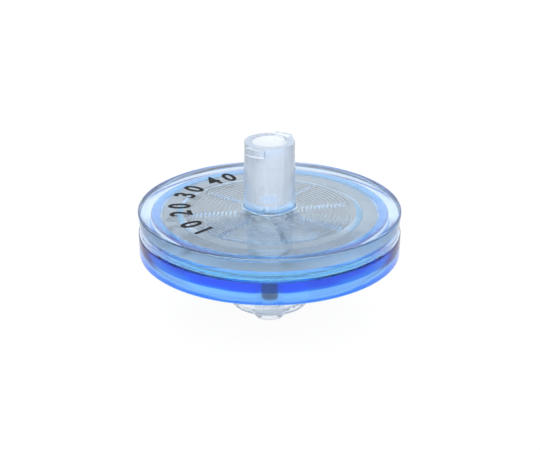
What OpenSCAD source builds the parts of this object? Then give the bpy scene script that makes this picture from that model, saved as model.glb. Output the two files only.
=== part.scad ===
// Disposable syringe filter: two clear moulded discs clamp a round membrane and are joined by a
// coloured sealing ring moulded into a channel between them. A female Luer-lock socket stands on
// the inlet disc, and a male Luer-lock tip with its collar hangs under the outlet disc.
// Millimetres, +Z towards the inlet, origin on the axis at the end of the outlet tip.

/* [Discs] */
// Diameter of both discs
disc_d = 33; // [30:0.5:40]
// Height of the inlet disc, from the parting line to its flat top
inlet_disc_h = 2.9; // [2.7:0.1:4]
// Height of the outlet disc, from its flat underside to the parting line
outlet_disc_h = 3; // [2.7:0.1:4]
// How far the inlet disc's wall leans in between its top edge and the parting line
rim_lean = 0.25; // [0:0.05:0.5]
// Rounding of the discs' outer edges
edge_r = 0.25; // [0.1:0.05:0.4]

/* [Chamber] */
// Diameter of the filter chamber where it meets the membrane
chamber_d = 23; // [20:0.5:24]
// How far the chamber's wall leans in on its way to the ceiling
chamber_lean = 0.7; // [0.2:0.1:1]
// Thickness of the inlet disc over the chamber
ceiling_t = 2; // [1.2:0.1:2.1]
// Thickness of the outlet disc under the drain channels
floor_t = 2.35; // [1.2:0.05:2.5]

/* [Ribs] */
// Height of the concentric ribs
rib_h = 0.5; // [0.2:0.05:0.55]
// Width of a concentric rib
rib_w = 0.26; // [0.15:0.01:0.35]
// Distance from one rib to the next
rib_pitch = 0.53; // [0.45:0.01:0.8]
// Radius of the innermost rib
first_rib_r = 4.1; // [3.9:0.1:6]
// Number of radial channels cut through the ribs
channel_count = 8; // [4:1:12]
// Width of a radial channel
channel_w = 0.7; // [0.4:0.05:1.2]
// Direction of the first radial channel
channel_angle = 10; // [0:1:44]
// Number of short fins that spread the liquid around each flow hole
fin_count = 16; // [8:1:20]
// Thickness of a fin
fin_w = 0.3; // [0.2:0.05:0.4]
// Length of a fin
fin_len = 1.3; // [0.8:0.1:1.5]

/* [Membrane] */
// Thickness of the membrane
membrane_t = 0.15; // [0.1:0.01:0.3]
// How far the membrane reaches under the clamping face beyond the chamber
membrane_grip = 1.9; // [1:0.1:1.9]

/* [Sealing ring] */
// Distance from the membrane's edge to the ring's channel
ring_offset = 0.15; // [0.1:0.05:0.4]
// Radial width of the ring's channel
ring_w = 1.2; // [0.6:0.1:1.2]
// How far the ring rises into the inlet disc
ring_rise = 0.6; // [0.3:0.1:1.2]
// Thickness of the outlet disc under the ring's channel
ring_floor = 1.05; // [0.2:0.05:1.3]
// Clearance all round the ring in its channel
ring_clearance = 0.02; // [0.01:0.01:0.08]

/* [Inlet socket] */
// Height of the inlet tube above the disc
tube_h = 8.5; // [8:0.5:14]
// Outer diameter of the inlet tube at its mouth
tube_d = 6.3; // [6:0.1:6.8]
// How much thicker the tube is at its foot, in diameter
tube_draft = 0.2; // [0:0.05:0.4]
// Diameter of the Luer socket at its mouth
socket_mouth_d = 4.28; // [4.27:0.01:4.31]
// Depth of the tapered Luer socket
socket_depth = 7.8; // [7.5:0.1:8]
// Diameter of the hole between the socket and the chamber
feed_d = 2.4; // [1.5:0.1:3]
// Distance across the two locking lugs
lug_span = 7.8; // [7.6:0.05:8]
// Height of a locking lug
lug_h = 1; // [0.6:0.1:1.5]
// Angle that one lug covers
lug_arc = 40; // [25:1:60]
// Direction of the first lug
lug_angle = 60; // [0:1:179]

/* [Outlet tip] */
// Taper of both Luer cones: change of diameter per length
luer_taper = 0.06; // [0.055:0.001:0.065]
// Diameter of the male tip at its end
tip_end_d = 3.97; // [3.93:0.01:4]
// How far the tip stands out past the collar
tip_reach = 2.2; // [2.1:0.1:3]
// Diameter of the hole through the tip
tip_bore_d = 2.1; // [1.2:0.1:2.4]

/* [Locking collar] */
// Outer diameter of the collar
collar_d = 9.9; // [9.6:0.1:12]
// Diameter inside the collar, at the root of its thread
collar_bore_d = 8; // [7.9:0.05:8.2]
// Length of the collar under the outlet disc
collar_h = 7.2; // [6:0.1:9]
// Thickness of the web at the top of the collar's hollow, below the outlet disc
collar_web = 0.4; // [0:0.1:1]

/* [Hidden] */
$fn = 96;
ARC_STEPS = 5;
CUT = 0.5;
TIP_CHAMFER = 0.2;
FOOT_R = 0.4;

disc_r = disc_d / 2;
chamber_r = chamber_d / 2;
ceiling_r = chamber_r - chamber_lean;
membrane_r = chamber_r + membrane_grip;
ring_in_r = membrane_r + ring_offset;
ring_out_r = ring_in_r + ring_w;

collar_z = tip_reach;
disc_z = collar_z + collar_h;
parting_z = disc_z + outlet_disc_h;
top_z = parting_z + inlet_disc_h;
mouth_z = top_z + tube_h;
ceiling_z = top_z - ceiling_t;
drain_z = disc_z + floor_t;
seat_z = parting_z - membrane_t;
drain_h = seat_z - drain_z;
channel_z = disc_z + ring_floor;
collar_hollow_top_z = disc_z - collar_web;

socket_end_z = mouth_z - socket_depth;
socket_end_d = socket_mouth_d - luer_taper * socket_depth;
tip_root_d = tip_end_d + luer_taper * disc_z;
rib_count = floor((ceiling_r - rib_pitch / 2 - rib_w - first_rib_r) / rib_pitch) + 1;
fin_end_r = first_rib_r - rib_w;

// Points along a quarter of a circle of radius r about (x, z), from angle a to angle b.
function arc(x, z, r, a, b) = [for (i = [0 : ARC_STEPS]) let (t = a + (b - a) * i / ARC_STEPS)
    [x + r * cos(t), z + r * sin(t)]];

// A straight-sided ring standing on z = 0.
module pipe(inner_r, outer_r, h) {
    difference() {
        cylinder(h = h, r = outer_r);
        translate([0, 0, -CUT]) cylinder(h = h + 2 * CUT, r = inner_r);
    }
}

// The concentric ribs and the fins round the flow hole, standing on z = 0, with the radial channels open.
module spreader(h, hole_d) {
    fin_start_r = max(hole_d / 2 + fin_w, fin_end_r - fin_len);
    difference() {
        union() for (i = [0 : rib_count - 1])
            pipe(first_rib_r + i * rib_pitch, first_rib_r + i * rib_pitch + rib_w, h);
        for (i = [0 : channel_count - 1])
            rotate(channel_angle + i * 360 / channel_count)
                translate([0, -channel_w / 2, -CUT]) cube([chamber_r, channel_w, h + 2 * CUT]);
    }
    for (i = [0 : fin_count - 1])
        rotate(channel_angle + (i + 0.5) * 360 / fin_count)
            translate([fin_start_r, -fin_w / 2, 0]) cube([fin_end_r - fin_start_r, fin_w, h]);
}

// A locking lug: a sector of a low ring at the mouth of the inlet tube.
module lug() {
    inner_r = (tube_d + socket_mouth_d) / 4;
    rotate_extrude(angle = lug_arc) translate([inner_r, 0]) square([lug_span / 2 - inner_r, lug_h]);
}

module inlet_disc() {
    rotate_extrude() polygon(concat(
        [[0, parting_z]],
        arc(disc_r - rim_lean - edge_r, parting_z + edge_r, edge_r, -90, 0),
        arc(disc_r - edge_r, top_z - edge_r, edge_r, 0, 90),
        [[0, top_z]]));
}

module inlet_tube() {
    foot_r = (tube_d + tube_draft) / 2;
    rotate_extrude() polygon(concat(
        [[0, top_z - CUT], [foot_r + FOOT_R, top_z - CUT]],
        arc(foot_r + FOOT_R, top_z + FOOT_R, FOOT_R, -90, -180),
        [[tube_d / 2, mouth_z], [0, mouth_z]]));
}

module inlet_housing() {
    color([0.80, 0.88, 0.97, 0.45]) {
        difference() {
            union() {
                inlet_disc();
                inlet_tube();
                for (side = [0, 180])
                    rotate(lug_angle - lug_arc / 2 + side) translate([0, 0, mouth_z - lug_h]) lug();
            }
            translate([0, 0, socket_end_z])
                cylinder(h = socket_depth + CUT, d1 = socket_end_d, d2 = socket_mouth_d + luer_taper * CUT);
            translate([0, 0, parting_z - CUT]) cylinder(h = socket_end_z - parting_z + 2 * CUT, d = feed_d);
            translate([0, 0, parting_z - CUT])
                cylinder(h = CUT + ceiling_z - parting_z,
                    r1 = chamber_r + CUT * chamber_lean / (ceiling_z - parting_z), r2 = ceiling_r);
            translate([0, 0, parting_z - CUT]) pipe(ring_in_r, ring_out_r, CUT + ring_rise);
        }
        translate([0, 0, ceiling_z - rib_h]) spreader(rib_h, feed_d);
    }
}

module outlet_disc() {
    rotate_extrude() polygon(concat(
        [[0, disc_z]],
        arc(disc_r - edge_r, disc_z + edge_r, edge_r, -90, 0),
        [[disc_r, parting_z], [0, parting_z]]));
}

module outlet_tip() {
    rotate_extrude() polygon([
        [0, 0],
        [tip_end_d / 2 - TIP_CHAMFER / 2, 0],
        [(tip_end_d + luer_taper * TIP_CHAMFER) / 2, TIP_CHAMFER],
        [tip_root_d / 2, disc_z],
        [tip_root_d / 2, disc_z + CUT],
        [0, disc_z + CUT]]);
}

module outlet_housing() {
    color([0.72, 0.84, 0.97, 0.45]) {
        difference() {
            union() {
                outlet_disc();
                difference() {
                    translate([0, 0, collar_z]) cylinder(h = collar_h + CUT, d = collar_d);
                    translate([0, 0, collar_z - CUT])
                        cylinder(h = CUT + collar_hollow_top_z - collar_z, d = collar_bore_d);
                }
                outlet_tip();
            }
            translate([0, 0, -CUT]) cylinder(h = parting_z + 2 * CUT, d = tip_bore_d);
            translate([0, 0, seat_z]) cylinder(h = parting_z - seat_z + CUT, r = ring_in_r);
            translate([0, 0, drain_z]) cylinder(h = parting_z - drain_z, r = ceiling_r);
            translate([0, 0, channel_z]) pipe(ring_in_r, ring_out_r, parting_z - channel_z + CUT);
        }
        translate([0, 0, drain_z]) spreader(drain_h, tip_bore_d);
    }
}

module seal_ring() {
    color([0.05, 0.35, 0.85])
        translate([0, 0, channel_z + ring_clearance])
            pipe(ring_in_r + ring_clearance, ring_out_r - ring_clearance,
                parting_z + ring_rise - channel_z - 2 * ring_clearance);
}

module membrane() {
    color([0.97, 0.97, 0.96]) translate([0, 0, seat_z]) cylinder(h = membrane_t, r = membrane_r);
}

inlet_housing();
outlet_housing();
seal_ring();
membrane();
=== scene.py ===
"""Looks for a clear syringe filter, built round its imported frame.

Two clear moulded housings, a see-through blue sealing ring, a white membrane and black printed
numerals are modelled as closed meshes in the frame's own metres, and dressed with node materials.
"""

from __future__ import annotations

import logging
import math
from dataclasses import dataclass
from enum import Enum
from typing import Any, Callable, Iterable, Sequence

import bmesh
import bpy
from mathutils import Matrix, Vector


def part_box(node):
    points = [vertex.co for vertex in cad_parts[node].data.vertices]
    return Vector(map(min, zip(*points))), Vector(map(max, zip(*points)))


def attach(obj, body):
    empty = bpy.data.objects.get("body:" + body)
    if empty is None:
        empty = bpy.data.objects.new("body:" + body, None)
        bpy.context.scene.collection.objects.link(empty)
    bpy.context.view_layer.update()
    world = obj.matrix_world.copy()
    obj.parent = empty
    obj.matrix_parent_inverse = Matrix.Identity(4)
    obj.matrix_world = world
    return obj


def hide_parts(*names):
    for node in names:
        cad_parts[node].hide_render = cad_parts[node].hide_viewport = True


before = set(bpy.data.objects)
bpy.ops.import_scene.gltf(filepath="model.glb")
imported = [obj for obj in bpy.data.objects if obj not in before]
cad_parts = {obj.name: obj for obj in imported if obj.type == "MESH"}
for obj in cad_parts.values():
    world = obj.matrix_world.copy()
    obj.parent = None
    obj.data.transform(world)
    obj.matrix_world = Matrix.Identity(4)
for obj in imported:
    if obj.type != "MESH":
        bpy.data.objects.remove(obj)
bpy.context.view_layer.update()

LOG = logging.getLogger("syringe_filter")
MM = 0.001
BODY = "root"
IMAGE_WIDTH = 540
FULL_TURN = 360.0
NEAR = 1e-6
MERGE = 1e-7
WHITE = (1.0, 1.0, 1.0)

Point = tuple[float, float]
Colour = tuple[float, float, float]
Sockets = dict[str, Any]


# ---------------------------------------------------------------- shader maths


class Wire:
    """A number or colour socket that takes part in sums written as Python expressions."""

    def __init__(self, finish: "NodeTree", socket: bpy.types.NodeSocket) -> None:
        """Wraps a socket.

        Args:
            finish: the node tree that the socket belongs to.
            socket: the output socket to wrap.
        """
        self.finish = finish
        self.socket = socket

    def _sum(self, operation: str, first: Any, second: Any) -> "Wire":
        """Adds one Math node.

        Args:
            operation: the Math node's operation.
            first: a number or a wire.
            second: a number or a wire.

        Returns:
            The Math node's output.
        """
        return self.finish.node("ShaderNodeMath", {"operation": operation}, {0: first, 1: second})

    def __add__(self, other: Any) -> "Wire":
        """Self plus other."""
        return self._sum("ADD", self, other)

    def __radd__(self, other: Any) -> "Wire":
        """Other plus self."""
        return self._sum("ADD", other, self)

    def __sub__(self, other: Any) -> "Wire":
        """Self minus other."""
        return self._sum("SUBTRACT", self, other)

    def __rsub__(self, other: Any) -> "Wire":
        """Other minus self."""
        return self._sum("SUBTRACT", other, self)

    def __mul__(self, other: Any) -> "Wire":
        """Self times other."""
        return self._sum("MULTIPLY", self, other)

    def __rmul__(self, other: Any) -> "Wire":
        """Other times self."""
        return self._sum("MULTIPLY", other, self)

    def __truediv__(self, other: Any) -> "Wire":
        """Self over other."""
        return self._sum("DIVIDE", self, other)

    def __pow__(self, other: Any) -> "Wire":
        """Self to the power of other."""
        return self._sum("POWER", self, other)

    def at_most(self, other: Any) -> "Wire":
        """The smaller of self and other."""
        return self._sum("MINIMUM", self, other)

    def at_least(self, other: Any) -> "Wire":
        """The larger of self and other."""
        return self._sum("MAXIMUM", self, other)


class NodeTree:
    """A node tree under construction, for a material or for the world."""

    def __init__(self, owner: bpy.types.ID) -> None:
        """Empties the owner's node tree.

        Args:
            owner: a material or a world.
        """
        owner.use_nodes = True
        self.tree = owner.node_tree
        self.tree.nodes.clear()

    def node(
        self,
        kind: str,
        settings: dict[str, Any] | None = None,
        sockets: dict[Any, Any] | None = None,
        output: int | str = 0,
    ) -> Wire:
        """Adds any node.

        Args:
            kind: the node's type.
            settings: the node's own settings, or a ramp's stops under "stops"; set first.
            sockets: values or wires for its input sockets, by name or number.
            output: the output socket to hand back.

        Returns:
            The chosen output.
        """
        made = self.tree.nodes.new(kind)
        for name, value in (settings or {}).items():
            if name == "stops":
                self._fill_ramp(made.color_ramp, value)
            else:
                setattr(made, name, value)
        for name, value in (sockets or {}).items():
            if isinstance(value, Wire):
                self.tree.links.new(value.socket, made.inputs[name])
            else:
                made.inputs[name].default_value = value
        return Wire(self, made.outputs[output]) if made.outputs else Wire(self, None)

    @staticmethod
    def _fill_ramp(ramp: bpy.types.ColorRamp, stops: Sequence[tuple[float, tuple]]) -> None:
        """Sets a colour ramp's stops.

        Args:
            ramp: the ramp to set.
            stops: (position, colour) pairs in rising order.
        """
        while len(ramp.elements) < len(stops):
            ramp.elements.new(1.0)
        for element, (position, colour) in zip(ramp.elements, stops):
            element.position = position
            element.color = colour

    def light_path(self, *rays: str) -> Wire:
        """Is 1 for any of the named kinds of ray.

        Args:
            rays: names of Light Path outputs.

        Returns:
            The largest of those outputs.
        """
        path = self.node("ShaderNodeLightPath", output=rays[0])
        found = path
        for ray in rays[1:]:
            found = found.at_least(Wire(self, path.socket.node.outputs[ray]))
        return found


def rgba(colour: Sequence[float]) -> tuple[float, float, float, float]:
    """A colour with full alpha, from linear red, green and blue."""
    return (colour[0], colour[1], colour[2], 1.0)


def srgb(red: int, green: int, blue: int) -> Colour:
    """Linear red, green and blue from 8-bit display values."""

    def linear(value: int) -> float:
        """One channel made linear."""
        share = value / 255
        return share / 12.92 if share <= 0.04045 else ((share + 0.055) / 1.055) ** 2.4

    return (linear(red), linear(green), linear(blue))


# -------------------------------------------------------------------- finishes


@dataclass(frozen=True)
class Zone:
    """A part of a moulding, told by its radii and heights, that came out of the mould duller, with
    milky white that partly paints in light.
    """

    inner: float
    outer: float
    low: float
    high: float
    haze: float = 0.0
    # Share of milky white; it partly paints in highlights and pale light from behind.
    milk_and_painted_light: float = 0.0
    edge: float = 0.05 * MM

    def mask(self, radius: Wire, height: Wire) -> Wire:
        """Is 1 inside the zone and 0 outside it.

        Args:
            radius: the distance from the axis.
            height: the height above the end of the tip.

        Returns:
            The mask.
        """
        steps = (radius - self.inner, self.outer - radius, height - self.low, self.high - height)
        found = steps[0]
        for step in steps[1:]:
            found = found.at_most(step)
        return (found / self.edge + 0.5).at_least(0.0).at_most(1.0)


@dataclass(frozen=True)
class ClearPlastic:
    """Polished see-through plastic, clear or dyed through its whole depth, with duller zones and
    milky white zones that partly paint in highlights and light from behind.
    """

    name: str
    dye: Colour
    dye_density: float
    joint: Zone
    joint_tint: Colour = WHITE
    tint: Colour = WHITE
    ior: float = 1.57
    gloss: float = 0.03
    haze_scale: float = 900.0
    haze_detail: float = 4.0
    wave_scale: float = 220.0
    wave_detail: float = 1.0
    wave_height: float = 0.02 * MM
    # Milky white for some zones, partly painted light: pale highlight arcs and the pale light seen
    # through the tube and tip.
    milk_and_painted_light: Colour = srgb(236, 241, 250)
    milk_and_painted_light_roughness: float = 0.5
    zones: tuple[Zone, ...] = ()

    def material(self) -> bpy.types.Material:
        """Builds the material.

        Returns:
            The new material.
        """
        made = bpy.data.materials.new(self.name)
        tree = NodeTree(made)
        place = tree.node("ShaderNodeTexCoord", output="Object")
        haze = tree.node(
            "ShaderNodeTexNoise",
            {},
            {"Vector": place, "Scale": self.haze_scale, "Detail": self.haze_detail},
        )
        waves = tree.node(
            "ShaderNodeTexNoise",
            {},
            {"Vector": place, "Scale": self.wave_scale, "Detail": self.wave_detail},
        )
        bump = tree.node(
            "ShaderNodeBump",
            {},
            {"Height": waves, "Strength": 1.0, "Distance": self.wave_height},
        )
        x, y, z = (
            tree.node("ShaderNodeSeparateXYZ", {}, {"Vector": place}, axis) for axis in "XYZ"
        )
        radius = (x * x + y * y) ** 0.5
        roughness, milk_and_painted_light = haze * self.gloss, haze * 0.0
        for zone in self.zones:
            mask = zone.mask(radius, z)
            roughness = roughness + mask * zone.haze
            milk_and_painted_light = milk_and_painted_light + mask * zone.milk_and_painted_light
        surface = self._see_through(
            tree, self.tint, {"Roughness": roughness, "IOR": self.ior, "Normal": bump}
        )
        # Mix in the milky white where zones ask for it; it partly paints in highlights and light
        # from behind.
        if any(zone.milk_and_painted_light for zone in self.zones):
            matt = {"Roughness": self.milk_and_painted_light_roughness, "Normal": bump}
            milk_and_painted_light_surface = tree.node(
                "ShaderNodeBsdfPrincipled", {}, {"Base Color": rgba(self.milk_and_painted_light), **matt}
            )
            surface = tree.node("ShaderNodeMixShader", {}, {0: milk_and_painted_light, 1: surface, 2: milk_and_painted_light_surface})
        bonded = self._see_through(tree, self.joint_tint, {"Roughness": 0.0, "IOR": 1.0})
        closed = self.joint.mask(radius, z)
        surface = tree.node("ShaderNodeMixShader", {}, {0: closed, 1: surface, 2: bonded})
        depth = tree.node(
            "ShaderNodeVolumeAbsorption",
            {},
            {"Color": rgba(self.dye), "Density": self.dye_density},
        )
        tree.node("ShaderNodeOutputMaterial", {}, {"Surface": surface, "Volume": depth})
        return made

    @staticmethod
    def _see_through(tree: NodeTree, tint: Colour, shine: Sockets) -> Wire:
        """Adds a shader that lets light through.

        Args:
            tree: the material's node tree.
            tint: the colour that light takes at the surface.
            shine: its roughness, index and bump.

        Returns:
            The shader.
        """
        sockets = {"Base Color": rgba(tint), "Transmission Weight": 1.0, **shine}
        return tree.node("ShaderNodeBsdfPrincipled", {}, sockets)


@dataclass(frozen=True)
class MembranePaper:
    """Matt white porous sheet with a very fine grain."""

    name: str = "membrane_white"
    colour: Colour = srgb(238, 240, 242)
    dark_share: float = 0.94
    grain_scale: float = 6000.0
    grain_detail: float = 6.0
    grain_depth: float = 0.02 * MM
    roughness: float = 0.9
    sheen_level: float = 0.2
    glow: float = 0.3

    def material(self) -> bpy.types.Material:
        """Builds the material.

        Returns:
            The new material.
        """
        made = bpy.data.materials.new(self.name)
        tree = NodeTree(made)
        place = tree.node("ShaderNodeTexCoord", output="Object")
        grain = tree.node(
            "ShaderNodeTexNoise",
            {},
            {"Vector": place, "Scale": self.grain_scale, "Detail": self.grain_detail},
        )
        dark = rgba([channel * self.dark_share for channel in self.colour])
        shade = tree.node(
            "ShaderNodeValToRGB",
            {"stops": [(0.3, dark), (0.7, rgba(self.colour))]},
            {"Fac": grain},
        )
        bump = tree.node(
            "ShaderNodeBump", {}, {"Height": grain, "Strength": 0.6, "Distance": self.grain_depth}
        )
        surface = tree.node(
            "ShaderNodeBsdfPrincipled",
            {},
            {
                "Base Color": shade,
                "Roughness": self.roughness,
                "Specular IOR Level": self.sheen_level,
                "Normal": bump,
            },
        )
        through = tree.node(
            "ShaderNodeBsdfTranslucent", {}, {"Color": rgba(self.colour), "Normal": bump}
        )
        surface = tree.node("ShaderNodeMixShader", {}, {0: self.glow, 1: surface, 2: through})
        tree.node("ShaderNodeOutputMaterial", {}, {"Surface": surface})
        return made


@dataclass(frozen=True)
class PrintInk:
    """Black pad-printed ink with slightly uneven cover."""

    name: str = "print_black"
    colour: Colour = srgb(7, 8, 12)
    thin_share: float = 1.9
    cover_scale: float = 3000.0
    cover_detail: float = 3.0
    sheen_level: float = 0.15

    def material(self) -> bpy.types.Material:
        """Builds the material.

        Returns:
            The new material.
        """
        made = bpy.data.materials.new(self.name)
        tree = NodeTree(made)
        place = tree.node("ShaderNodeTexCoord", output="Object")
        cover = tree.node(
            "ShaderNodeTexNoise",
            {},
            {"Vector": place, "Scale": self.cover_scale, "Detail": self.cover_detail},
        )
        thin = rgba([channel * self.thin_share for channel in self.colour])
        shade = tree.node(
            "ShaderNodeValToRGB",
            {"stops": [(0.35, rgba(self.colour)), (0.75, thin)]},
            {"Fac": cover},
        )
        surface = tree.node(
            "ShaderNodeBsdfPrincipled",
            {},
            {
                "Base Color": shade,
                "Roughness": cover * 0.2 + 0.5,
                "Specular IOR Level": self.sheen_level,
            },
        )
        tree.node("ShaderNodeOutputMaterial", {}, {"Surface": surface})
        return made


# ------------------------------------------------------------------ mesh tools


def quarter(
    centre: Point, radius: float, start: float, end: float, steps: int = 5
) -> list[Point]:
    """Points along an arc.

    Args:
        centre: the arc's centre as (radius, height).
        radius: the arc's radius.
        start: the first angle in degrees.
        end: the last angle in degrees.
        steps: how many straight stretches the arc has.

    Returns:
        The arc's points, ends included.
    """
    turns = [math.radians(start + (end - start) * i / steps) for i in range(steps + 1)]
    return [(centre[0] + radius * math.cos(t), centre[1] + radius * math.sin(t)) for t in turns]


def spin_profile(points: Sequence[Point], steps: int) -> bmesh.types.BMesh:
    """Spins a closed outline of (radius, height) points a full turn about the Z axis.

    Args:
        points: the outline's corners in order.
        steps: how many stretches the turn has.

    Returns:
        A closed mesh.
    """
    mesh = bmesh.new()
    corners = [mesh.verts.new((r, 0.0, z)) for r, z in points]
    edges = [mesh.edges.new((a, b)) for a, b in zip(corners, corners[1:] + corners[:1])]
    bmesh.ops.spin(
        mesh,
        geom=corners + edges,
        cent=(0.0, 0.0, 0.0),
        axis=(0.0, 0.0, 1.0),
        angle=2 * math.pi,
        steps=steps,
        use_merge=True,
    )
    bmesh.ops.remove_doubles(mesh, verts=mesh.verts, dist=MERGE)
    bmesh.ops.recalc_face_normals(mesh, faces=mesh.faces)
    return mesh


def push_faces(
    mesh: bmesh.types.BMesh,
    chosen: Iterable[bmesh.types.BMFace],
    move: Callable[[Vector], Vector],
) -> None:
    """Extrudes a patch of faces and moves its new corners.

    Args:
        mesh: the mesh to change.
        chosen: the faces of the patch.
        move: gives a corner's new place from its old one.
    """
    patch = list(chosen)
    grown = bmesh.ops.extrude_face_region(mesh, geom=patch)
    for part in grown["geom"]:
        if isinstance(part, bmesh.types.BMVert):
            part.co = move(part.co)
    left = [face for face in patch if face.is_valid]
    bmesh.ops.delete(mesh, geom=left, context="FACES_ONLY")


def finish_piece(
    name: str,
    mesh: bmesh.types.BMesh,
    material: bpy.types.Material,
    node: str | None = None,
    smooth_below: float = 32.0,
) -> bpy.types.Object:
    """Turns a mesh into a shown piece that rides on the part.

    Args:
        name: the piece's name.
        mesh: its mesh, which is used up.
        material: its finish.
        node: the solid of the frame that it stands for.
        smooth_below: edges that bend by less than this many degrees are shaded smooth.

    Returns:
        The new object.
    """
    data = bpy.data.meshes.new(name)
    mesh.to_mesh(data)
    mesh.free()
    data.shade_smooth()
    data.set_sharp_from_angle(angle=math.radians(smooth_below))
    data.materials.append(material)
    made = bpy.data.objects.new(name, data)
    bpy.context.scene.collection.objects.link(made)
    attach(made, BODY)
    if node:
        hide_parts(node)
    LOG.info("%s: %d faces", name, len(data.polygons))
    return made


def heading(place: Vector) -> float:
    """The direction of a place seen from the axis, in degrees from 0 to 360."""
    return math.degrees(math.atan2(place.y, place.x)) % FULL_TURN


# --------------------------------------------------------------- sub-assemblies


@dataclass
class Ribs:
    """Concentric ribs with radial channels through them, and short fins round the flow hole."""

    height: float = 0.5 * MM
    width: float = 0.26 * MM
    pitch: float = 0.53 * MM
    first: float = 4.1 * MM
    channels: int = 8
    channel_width: float = 0.7 * MM
    channel_heading: float = 10.0
    fins: int = 16
    fin_width: float = 0.3 * MM
    fin_length: float = 1.3 * MM
    outer: float = 10.8 * MM

    def radii(self) -> list[float]:
        """Inner radius of each rib, from the axis outwards."""
        room = self.outer - self.pitch / 2 - self.width - self.first
        count = math.floor(room / self.pitch) + 1
        return [self.first + i * self.pitch for i in range(count)]

    def outline(self, z: float) -> list[Point]:
        """Corners of a flat face at height z that the ribs and fins grow from, inner one first."""
        fin_end = self.first - self.width
        edges = [fin_end - self.fin_length, fin_end]
        for radius in self.radii():
            edges += [radius, radius + self.width]
        return [(radius, z) for radius in edges]

    def holds(self, place: Vector) -> bool:
        """Whether a face with this centre belongs to a rib or a fin.

        Args:
            place: the face's centre.

        Returns:
            True if the face is to be raised.
        """
        radius = math.hypot(place.x, place.y)
        fin_end = self.first - self.width
        if fin_end - self.fin_length < radius < fin_end:
            return self._across(place, radius, self.fins, 0.5) < self.fin_width / 2
        on_rib = any(inner < radius < inner + self.width for inner in self.radii())
        return on_rib and self._across(place, radius, self.channels, 0.0) > self.channel_width / 2

    def _across(self, place: Vector, radius: float, count: int, turn: float) -> float:
        """Distance from a place to the nearest of several radial lines.

        Args:
            place: the place.
            radius: its distance from the axis.
            count: how many lines there are.
            turn: how far the first line is turned on, as a share of the angle between lines.

        Returns:
            The distance in metres.
        """
        step = FULL_TURN / count
        off = (heading(place) - self.channel_heading - turn * step) % step
        off = min(off, step - off)
        return radius * math.sin(math.radians(off))

    def _patch(self, mesh: bmesh.types.BMesh, z: float) -> list[bmesh.types.BMFace]:
        """The faces at height z that ribs and fins grow from.

        Args:
            mesh: the housing's mesh.
            z: the height of its flat face.

        Returns:
            The chosen faces.
        """
        return [
            face
            for face in mesh.faces
            if all(abs(corner.co.z - z) < NEAR for corner in face.verts)
            and self.holds(face.calc_center_median())
        ]

    def raise_from(self, mesh: bmesh.types.BMesh, z: float, height: float) -> None:
        """Raises the ribs and fins out of the flat face at height z.

        Args:
            mesh: the housing's mesh.
            z: the height of that face.
            height: how far they reach, negative for downwards.
        """
        push_faces(mesh, self._patch(mesh, z), lambda place: place + Vector((0.0, 0.0, height)))

    def stand_on(self, mesh: bmesh.types.BMesh, z: float, height: float, gap: float) -> None:
        """Stands the ribs and fins on the flat face at height z, as closed forms a hair above it.

        Args:
            mesh: the housing's mesh.
            z: the height of that face, which stays whole and guides light.
            height: how far up the ribs reach from it.
            gap: their distance from the face.
        """
        copied = bmesh.ops.duplicate(mesh, geom=self._patch(mesh, z))["geom"]
        feet = [part for part in copied if isinstance(part, bmesh.types.BMFace)]
        corners = [part for part in copied if isinstance(part, bmesh.types.BMVert)]
        bmesh.ops.translate(mesh, verts=corners, vec=(0.0, 0.0, gap))
        grown = bmesh.ops.extrude_face_region(mesh, geom=feet)["geom"]
        tops = [part for part in grown if isinstance(part, bmesh.types.BMVert)]
        bmesh.ops.translate(mesh, verts=tops, vec=(0.0, 0.0, height - gap))
        walls = {face for corner in corners + tops for face in corner.link_faces}
        bmesh.ops.recalc_face_normals(mesh, faces=list(walls))


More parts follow.
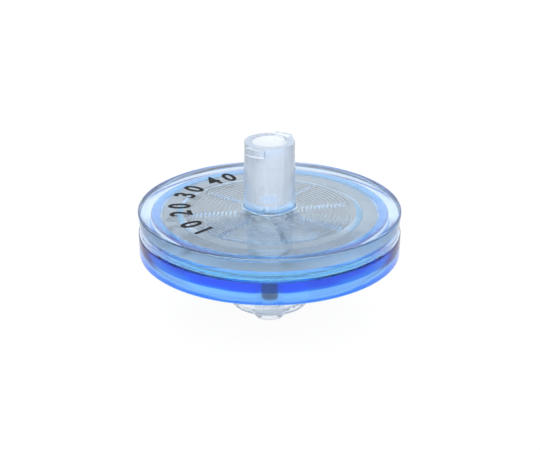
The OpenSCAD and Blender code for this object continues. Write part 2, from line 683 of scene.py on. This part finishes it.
@dataclass
class InletHousing:
    """The clear inlet half: rim, plate, Luer socket, lugs, chamber ceiling and ribs."""

    ribs: Ribs
    steps: int = 384
    gap: float = 0.02 * MM
    disc_height: float = 2.9 * MM
    rim_lean: float = 0.25 * MM
    edge: float = 0.25 * MM
    ceiling_thickness: float = 2.0 * MM
    chamber_radius: float = 11.5 * MM
    chamber_lean: float = 0.7 * MM
    ring_in: float = 13.55 * MM
    ring_out: float = 14.75 * MM
    ring_rise: float = 0.6 * MM
    tube_radius: float = 3.15 * MM
    tube_foot_radius: float = 3.25 * MM
    foot_fillet: float = 0.4 * MM
    socket_radius: float = 2.14 * MM
    socket_depth: float = 7.8 * MM
    socket_taper: float = 0.03
    feed_radius: float = 1.2 * MM
    lip: float = 0.12 * MM
    mouth_edge: float = 0.036 * MM
    lug_radius: float = 3.9 * MM
    lug_height: float = 1.0 * MM
    lug_arc: float = 40.0
    lug_heading: float = 60.0

    def build(self, material: bpy.types.Material) -> bpy.types.Object:
        """Builds the piece.

        Args:
            material: its finish.

        Returns:
            The new object.
        """
        low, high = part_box("inlet_housing")
        disc_radius = (high.x - low.x) / 2
        parting = low.z + self.gap
        top = low.z + self.disc_height
        mouth = high.z
        ceiling = top - self.ceiling_thickness
        socket_end = mouth - self.socket_depth
        socket_end_radius = self.socket_radius - self.socket_taper * self.socket_depth
        lug_foot = mouth - self.lug_height
        edge = self.edge
        outline: list[Point] = [(self.ring_out, parting)]
        outline += quarter((disc_radius - self.rim_lean - edge, parting + edge), edge, -90, 0)
        outline += quarter((disc_radius - edge, top - edge), edge, 0, 90)
        fillet = self.foot_fillet
        outline += quarter((self.tube_foot_radius + fillet, top + fillet), fillet, -90, -180)
        outline += [(self.tube_radius, lug_foot), (self.tube_radius, mouth - self.mouth_edge)]
        outline += [(self.tube_radius - self.mouth_edge, mouth)]
        outline += quarter((self.socket_radius + self.lip, mouth - self.lip), self.lip, 90, 180, 3)
        outline += [(socket_end_radius, socket_end), (self.feed_radius, socket_end)]
        outline += [(self.feed_radius, ceiling)]
        outline += self.ribs.outline(ceiling)
        outline += [(self.chamber_radius - self.chamber_lean, ceiling)]
        outline += [(self.chamber_radius, parting)]
        outline += [(self.ring_in, parting), (self.ring_in, low.z + self.ring_rise)]
        outline += [(self.ring_out, low.z + self.ring_rise)]
        mesh = spin_profile(outline, self.steps)
        self.ribs.raise_from(mesh, ceiling, -self.ribs.height)
        self._raise_lugs(mesh, lug_foot)
        return finish_piece("inlet_housing_clear", mesh, material, "inlet_housing")

    def _raise_lugs(self, mesh: bmesh.types.BMesh, foot: float) -> None:
        """Pushes the two locking lugs out of the tube's wall.

        Args:
            mesh: the housing's mesh.
            foot: the height of the lugs' underside.
        """
        reach = self.lug_radius / self.tube_radius

        def on_lug(face: bmesh.types.BMFace) -> bool:
            """Whether a face of the tube's outer wall belongs to a lug."""
            place = face.calc_center_median()
            radius = math.hypot(place.x, place.y)
            off = (heading(place) - self.lug_heading + 90) % 180 - 90
            upright = abs(face.normal.z) < 0.1 and radius > self.tube_radius * 0.99
            return upright and place.z > foot and abs(off) < self.lug_arc / 2

        chosen = [face for face in mesh.faces if on_lug(face)]
        push_faces(mesh, chosen, lambda place: Vector((place.x * reach, place.y * reach, place.z)))


@dataclass
class OutletHousing:
    """The clear outlet half: disc, membrane seat, drain ribs, male tip and threaded collar."""

    ribs: Ribs
    steps: int = 384
    gap: float = 0.02 * MM
    disc_height: float = 3.0 * MM
    floor_thickness: float = 2.35 * MM
    edge: float = 0.25 * MM
    parting_edge: float = 0.125 * MM
    seat_depth: float = 0.15 * MM
    drain_radius: float = 10.8 * MM
    rib_gap: float = 0.01 * MM
    ring_in: float = 13.55 * MM
    ring_out: float = 14.75 * MM
    ring_floor: float = 1.05 * MM
    collar_radius: float = 4.95 * MM
    collar_bore: float = 4.0 * MM
    collar_web: float = 0.4 * MM
    collar_chamfer: float = 0.1 * MM
    tip_reach: float = 2.2 * MM
    tip_radius: float = 1.985 * MM
    taper: float = 0.03
    tip_chamfer: float = 0.2 * MM
    bore_radius: float = 1.05 * MM
    thread_height: float = 0.45 * MM
    thread_pitch: float = 2.5 * MM
    thread_starts: int = 2
    thread_fade: float = 0.5 * MM
    thread_flat: float = 2.2
    thread_slope: float = 9.0
    thread_rows: int = 48

    def build(self, material: bpy.types.Material) -> bpy.types.Object:
        """Builds the piece.

        Args:
            material: its finish.

        Returns:
            The new object.
        """
        low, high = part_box("outlet_housing")
        disc_radius = (high.x - low.x) / 2
        parting = high.z - self.gap
        under = high.z - self.disc_height
        drain = under + self.floor_thickness
        seat = high.z - self.seat_depth - self.gap
        collar_end = low.z + self.tip_reach
        hollow_top = under - self.collar_web
        tip_root = self.tip_radius + self.taper * (hollow_top - low.z)
        chamfer = self.tip_chamfer
        edge = self.edge
        row_height = (hollow_top - collar_end) / self.thread_rows
        rows = [collar_end + row_height * i for i in range(self.thread_rows + 1)]
        outline: list[Point] = [(self.bore_radius, low.z)]
        outline += quarter((self.tip_radius - chamfer, low.z + chamfer), chamfer, -90, 0, 3)
        outline += [(tip_root, hollow_top)]
        outline += [(self.collar_bore, z) for z in reversed(rows)]
        outline += [(self.collar_radius - self.collar_chamfer, collar_end)]
        outline += [(self.collar_radius, collar_end + self.collar_chamfer)]
        outline += [(self.collar_radius, under)]
        outline += quarter((disc_radius - edge, under + edge), edge, -90, 0)
        edge = self.parting_edge
        outline += quarter((disc_radius - edge, parting - edge), edge, 0, 90, 3)
        channel_floor = under + self.ring_floor
        outline += [(self.ring_out, parting), (self.ring_out, channel_floor)]
        outline += [(self.ring_in, channel_floor), (self.ring_in, seat)]
        outline += [(self.drain_radius, seat), (self.drain_radius, drain)]
        outline += list(reversed(self.ribs.outline(drain)))
        outline += [(self.bore_radius, drain)]
        mesh = spin_profile(outline, self.steps)
        self.ribs.stand_on(mesh, drain, seat - drain, self.rib_gap)
        self._raise_thread(mesh, collar_end, hollow_top)
        return finish_piece(
            "outlet_housing_clear", mesh, material, "outlet_housing"
        )

    def _raise_thread(self, mesh: bmesh.types.BMesh, low: float, high: float) -> None:
        """Raises a two-start right-handed thread on the collar's inner wall.

        Args:
            mesh: the housing's mesh.
            low: the height of the collar's open end.
            high: the height of the hollow's closed end.
        """
        for corner in mesh.verts:
            radius = math.hypot(corner.co.x, corner.co.y)
            if abs(radius - self.collar_bore) > NEAR or not low < corner.co.z < high:
                continue
            turned = heading(corner.co) / (FULL_TURN / self.thread_starts)
            phase = (corner.co.z / self.thread_pitch - turned) % 1
            crest = max(0.0, min(1.0, self.thread_flat - abs(phase - 0.5) * self.thread_slope))
            ends = min(1.0, min(corner.co.z - low, high - corner.co.z) / self.thread_fade)
            reach = 1 - self.thread_height * crest * ends / radius
            corner.co.x *= reach
            corner.co.y *= reach


@dataclass
class SealRing:
    """The blue ring moulded between the two halves."""

    steps: int = 384
    round_edge: float = 0.08 * MM
    width: float = 1.16 * MM
    smooth_below: float = 50.0

    def build(self, material: bpy.types.Material) -> bpy.types.Object:
        """Builds the piece.

        Args:
            material: its finish.

        Returns:
            The new object.
        """
        low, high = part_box("seal_ring")
        outer, edge = (high.x - low.x) / 2, self.round_edge
        inner = outer - self.width
        outline = quarter((outer - edge, low.z + edge), edge, -90, 0, 3)
        outline += quarter((outer - edge, high.z - edge), edge, 0, 90, 3)
        outline += quarter((inner + edge, high.z - edge), edge, 90, 180, 3)
        outline += quarter((inner + edge, low.z + edge), edge, 180, 270, 3)
        mesh = spin_profile(outline, self.steps)
        return finish_piece(
            "seal_ring_blue", mesh, material, "seal_ring", self.smooth_below
        )


@dataclass
class Membrane:
    """The white filter membrane."""

    steps: int = 256
    gap: float = 0.01 * MM

    def build(self, material: bpy.types.Material) -> bpy.types.Object:
        """Builds the piece.

        Args:
            material: its finish.

        Returns:
            The new object.
        """
        low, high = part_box("membrane")
        radius = (high.x - low.x) / 2
        mesh = bmesh.new()
        bmesh.ops.create_circle(mesh, cap_ends=True, segments=self.steps, radius=radius)
        bmesh.ops.translate(mesh, verts=mesh.verts, vec=(0.0, 0.0, low.z + self.gap))
        solid = bmesh.ops.extrude_face_region(mesh, geom=list(mesh.faces))
        raised = [part for part in solid["geom"] if isinstance(part, bmesh.types.BMVert)]
        bmesh.ops.translate(mesh, verts=raised, vec=(0.0, 0.0, high.z - low.z - 2 * self.gap))
        bmesh.ops.recalc_face_normals(mesh, faces=mesh.faces)
        return finish_piece("membrane_sheet", mesh, material, "membrane")


@dataclass
class PrintedNumbers:
    """Plain numerals printed in black along an arc of the inlet plate."""

    groups: tuple[str, ...] = ("10", "20", "30", "40")
    radius: float = 11.35 * MM
    height: float = 2.65 * MM
    squeeze: float = 0.86
    first_heading: float = 226.0
    digit_step: float = -12.6
    group_step: float = -31.6
    ink: float = 0.012 * MM
    sink: float = 0.03 * MM
    weight: float = 0.03
    cap_share: float = 0.7

    def build(self, material: bpy.types.Material) -> bpy.types.Object:
        """Builds the piece.

        Args:
            material: its finish.

        Returns:
            The new object.
        """
        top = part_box("inlet_housing")[0].z + InletHousing.disc_height
        joined = bmesh.new()
        for index, group in enumerate(self.groups):
            for place, digit in enumerate(group):
                turn = self.first_heading + index * self.group_step + place * self.digit_step
                self._add_digit(joined, digit, turn, top)
        return finish_piece("printed_numbers", joined, material)

    def _add_digit(self, joined: bmesh.types.BMesh, digit: str, turn: float, top: float) -> None:
        """Adds one numeral, its head pointing away from the axis.

        Args:
            joined: the mesh that takes the numeral.
            digit: the numeral.
            turn: the direction in which it stands, in degrees.
            top: the height of the plate's face.
        """
        curve = bpy.data.curves.new(f"digit_{digit}", "FONT")
        curve.body = digit
        curve.align_x = "CENTER"
        curve.size = 1.0
        curve.offset = self.weight
        curve.extrude = 0.5
        writer = bpy.data.objects.new(curve.name, curve)
        bpy.context.scene.collection.objects.link(writer)
        bpy.context.view_layer.update()
        evaluated = writer.evaluated_get(bpy.context.evaluated_depsgraph_get())
        shape = bpy.data.meshes.new_from_object(evaluated)
        size = self.height / self.cap_share
        depth = self.ink + self.sink
        place = (
            Matrix.Translation((0.0, 0.0, top + self.ink - depth / 2))
            @ Matrix.Rotation(math.radians(turn - 90), 4, "Z")
            @ Matrix.Translation((0.0, self.radius - self.height / 2, 0.0))
            @ Matrix.Diagonal((size * self.squeeze, size, depth, 1.0))
        )
        shape.transform(place)
        joined.from_mesh(shape)
        bpy.data.objects.remove(writer)
        bpy.data.meshes.remove(shape)
        bpy.data.curves.remove(curve)


# ----------------------------------------------------------------------- studio


class Side(Enum):
    """Where a lamp stands, as a direction from the filter: +X right, -Y towards the camera."""

    KEY = (-0.5, -0.55, 1.0)
    FILL = (0.9, -0.6, 0.7)
    BACK = (0.15, 0.9, 0.8)


@dataclass(frozen=True)
class Softbox:
    """A soft patch of light in the surroundings, mirrored left and right."""

    heading: float
    elevation: float
    spread: float
    light: Colour
    outer_share: float = 1.4
    inner_share: float = 0.6

    def glow(self, tree: NodeTree, side: Wire, ahead: Wire, up: Wire) -> Wire:
        """Builds the patch's light.

        Args:
            tree: the world's node tree.
            side: how far a direction points to either side.
            ahead: how far it points away from the front.
            up: how far it points up.

        Returns:
            A Background shader.
        """
        turn, rise = math.radians(self.heading), math.radians(self.elevation)
        flat = side * math.sin(turn) + ahead * math.cos(turn)
        towards = flat * math.cos(rise) + up * math.sin(rise)
        level = tree.node(
            "ShaderNodeMapRange",
            {"interpolation_type": "SMOOTHSTEP"},
            {
                "Value": towards,
                "From Min": math.cos(math.radians(self.spread * self.outer_share)),
                "From Max": math.cos(math.radians(self.spread * self.inner_share)),
            },
        )
        return tree.node("ShaderNodeBackground", {}, {"Color": rgba(self.light), "Strength": level})


@dataclass
class Studio:
    """Camera, lamps, floor and the surroundings of soft boxes."""

    distance: float = 150.0 * MM
    elevation: float = 21.94
    pitch: float = 22.90
    lens: float = 79.6
    sensor: float = 36.0
    shift: float = 0.4 / IMAGE_WIDTH
    nearest: float = 0.01
    farthest: float = 10.0
    aim_height: float = 15.3 * MM
    floor_size: float = 3.0
    floor_drop: float = 0.2 * MM
    floor_colour: Colour = srgb(235, 236, 238)
    floor_white: float = 0.94
    through_bounces: int = 32
    glossy_bounces: int = 12
    lamp_distance: float = 0.55
    lamps: tuple[tuple[Side, float, float], ...] = (
        (Side.KEY, 0.1, 0.35),
        (Side.FILL, 0.08, 0.3),
        (Side.BACK, 0.1, 0.4),
    )
    boxes: tuple[Softbox, ...] = (
        Softbox(30, 60, 12, (4.6, 4.6, 4.6)),
        Softbox(150, 28, 40, (2.6, 2.6, 2.6)),
        Softbox(150, 60, 30, (1.1, 1.1, 1.1)),
        Softbox(60, -30, 12, (0.83, 1.0, 1.16)),
        Softbox(30, -30, 12, (0.77, 0.93, 1.08)),
        Softbox(120, -45, 30, (0.52, 0.64, 0.74)),
        Softbox(30, 15, 50, (0.26, 0.32, 0.37)),
        Softbox(30, 0, 30, (0.15, 0.18, 0.21)),
        Softbox(30, 0, 50, (0.15, 0.18, 0.21)),
    )

    def build(self) -> None:
        """Builds everything that isn't part of the filter."""
        self._camera()
        self._floor()
        self._world()
        for side, power, size in self.lamps:
            self._lamp(side, power, size)
        scene = bpy.context.scene
        scene.view_settings.view_transform = "Standard"
        scene.cycles.max_bounces = self.through_bounces
        scene.cycles.transmission_bounces = self.through_bounces
        scene.cycles.glossy_bounces = self.glossy_bounces

    def _camera(self) -> None:
        """Puts the camera in front of the filter, a little above it."""
        up = math.radians(self.elevation)
        data = bpy.data.cameras.new("camera")
        data.lens = self.lens
        data.sensor_width = self.sensor
        data.clip_start, data.clip_end = self.nearest, self.farthest
        data.shift_x = self.shift
        camera = bpy.data.objects.new("camera", data)
        camera.location = (
            0.0,
            -self.distance * math.cos(up),
            self.aim_height + self.distance * math.sin(up),
        )
        camera.rotation_euler = (math.radians(90 - self.pitch), 0.0, 0.0)
        bpy.context.scene.collection.objects.link(camera)
        bpy.context.scene.camera = camera

    def _floor(self) -> None:
        """Lays a pale floor under the tip."""
        mesh = bmesh.new()
        bmesh.ops.create_grid(mesh, x_segments=1, y_segments=1, size=self.floor_size / 2)
        data = bpy.data.meshes.new("floor")
        mesh.to_mesh(data)
        mesh.free()
        made = bpy.data.materials.new("floor_pale")
        tree = NodeTree(made)
        matt = tree.node("ShaderNodeBsdfDiffuse", {}, {"Color": rgba(self.floor_colour)})
        white = tree.node("ShaderNodeEmission", {}, {"Color": rgba(WHITE), "Strength": 1.0})
        mixed = tree.node("ShaderNodeMixShader", {}, {0: self.floor_white, 1: matt, 2: white})
        tree.node("ShaderNodeOutputMaterial", {}, {"Surface": mixed})
        data.materials.append(made)
        floor = bpy.data.objects.new("floor", data)
        floor.location.z = -self.floor_drop
        floor.visible_diffuse = False
        floor.visible_shadow = False
        bpy.context.scene.collection.objects.link(floor)

    def _world(self) -> None:
        """Makes the surroundings white in view, in gloss and through plastic, and adds light."""
        world = bpy.data.worlds.new("surroundings")
        bpy.context.scene.world = world
        tree = NodeTree(world)
        way = tree.node("ShaderNodeTexCoord", output="Generated")
        x, y, z = (
            tree.node("ShaderNodeSeparateXYZ", {}, {"Vector": way}, axis) for axis in "XYZ"
        )
        side = x.at_least(x * -1.0)
        lit = self.boxes[0].glow(tree, side, y, z)
        for box in self.boxes[1:]:
            lit = tree.node("ShaderNodeAddShader", {}, {0: lit, 1: box.glow(tree, side, y, z)})
        white = tree.node("ShaderNodeBackground", {}, {"Color": rgba(WHITE), "Strength": 1.0})
        seen = tree.light_path("Is Camera Ray", "Is Glossy Ray", "Is Transmission Ray")
        mixed = tree.node("ShaderNodeMixShader", {}, {0: seen, 1: lit, 2: white})
        tree.node("ShaderNodeOutputWorld", {}, {"Surface": mixed})

    def _lamp(self, side: Side, power: float, size: float) -> None:
        """Hangs one square soft lamp.

        Args:
            side: where it stands.
            power: its power in watts.
            size: its width.
        """
        data = bpy.data.lights.new(f"lamp_{side.name.lower()}", "AREA")
        data.energy = power
        data.size = size
        lamp = bpy.data.objects.new(data.name, data)
        way = Vector(side.value).normalized()
        lamp.location = way * self.lamp_distance
        lamp.rotation_euler = way.to_track_quat("Z", "Y").to_euler()
        bpy.context.scene.collection.objects.link(lamp)


# ------------------------------------------------------------------------- main


def plastics() -> tuple[bpy.types.Material, bpy.types.Material]:
    """Builds the clear and the blue plastic, with their zones in the part's own heights.

    Returns:
        The clear material and the blue one.
    """
    joint = Zone(13.45 * MM, 14.85 * MM, 10.4 * MM, 12.0 * MM, edge=0.02 * MM)
    # The tube's milky white partly paints in the pale light seen through it.
    tube = Zone(0.0, 5.0 * MM, 15.9 * MM, 30.0 * MM, haze=0.08, milk_and_painted_light=0.22, edge=0.4 * MM)
    rims = Zone(15.9 * MM, 20.0 * MM, 0.0, 30.0 * MM, haze=0.05)
    # The chamber wall's milky white is a painted highlight for the pale arcs there.
    chamber_wall = Zone(
        10.79 * MM, 11.6 * MM, 12.38 * MM, 13.29 * MM, haze=0.2, milk_and_painted_light=0.3, edge=0.01 * MM
    )
    # The tip and collar's milky white partly paints in pale light from the floor behind.
    fitting = Zone(0.0, 5.2 * MM, -1.0 * MM, 9.35 * MM, haze=0.1, milk_and_painted_light=0.2)
    drain = Zone(0.0, 10.82 * MM, 9.45 * MM, 12.3 * MM, haze=0.02)
    underside = Zone(5.0 * MM, 16.3 * MM, 9.2 * MM, 9.45 * MM, haze=0.04)
    clear = ClearPlastic(
        "plastic_clear",
        dye=(0.0, 0.57, 1.0),
        dye_density=55.0,
        joint=joint,
        tint=(0.985, 0.993, 1.0),
        zones=(tube, rims, chamber_wall, fitting, drain, underside),
    )
    blue = ClearPlastic(
        "plastic_blue",
        dye=(0.0, 0.82, 0.97),
        dye_density=1500.0,
        joint=joint,
        joint_tint=(0.06, 0.52, 0.97),
        wave_height=0.0,
    )
    return clear.material(), blue.material()


def main() -> None:
    """Builds the studio and every piece, in order."""
    logging.basicConfig(level=logging.INFO)
    Studio().build()
    clear, blue = plastics()
    InletHousing(Ribs()).build(clear)
    OutletHousing(Ribs()).build(clear)
    SealRing().build(blue)
    Membrane().build(MembranePaper().material())
    PrintedNumbers().build(PrintInk().material())


if __name__ == "__main__":
    main()
